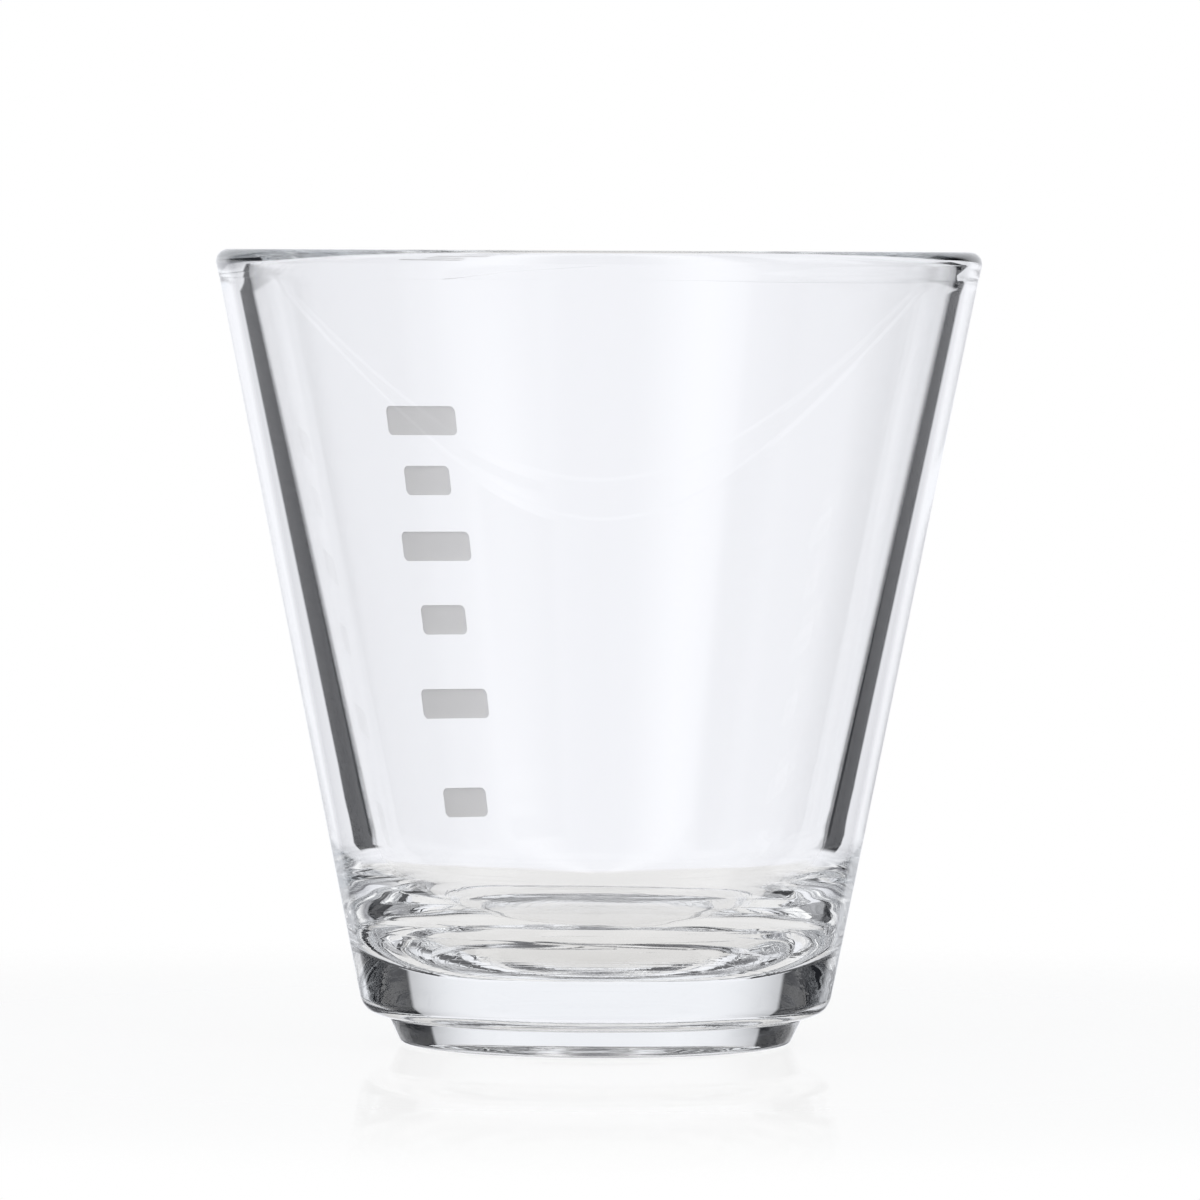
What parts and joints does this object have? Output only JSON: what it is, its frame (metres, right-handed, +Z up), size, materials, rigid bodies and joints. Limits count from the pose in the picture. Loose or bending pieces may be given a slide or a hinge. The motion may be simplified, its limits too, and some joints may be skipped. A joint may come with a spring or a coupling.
{
  "type": "espresso glass",
  "caption": "Conical pressed espresso glass with a rounded lip, a thick base on a stepped foot and a column of plain enamel level marks on its wall.",
  "frame": {"origin": "centre of the ring that the glass stands on, at the level of the table", "axes": "+Z up along the axis of the glass, -Y towards the viewer of the picture, the level marks on the far side, to the left of +Y"},
  "size_m": [0.062, 0.062, 0.064],
  "materials": {
    "clear_glass": "clear pressed soda-lime glass, fire-polished",
    "grey_enamel": "pale grey enamel, screen-printed and fired, satin"
  },
  "bodies": {
    "root": {"glass": "clear_glass", "level_mark_10ml": "grey_enamel", "level_mark_20ml": "grey_enamel", "level_mark_30ml": "grey_enamel", "level_mark_40ml": "grey_enamel", "level_mark_50ml": "grey_enamel", "level_mark_60ml": "grey_enamel"}
  },
  "joints": []
}
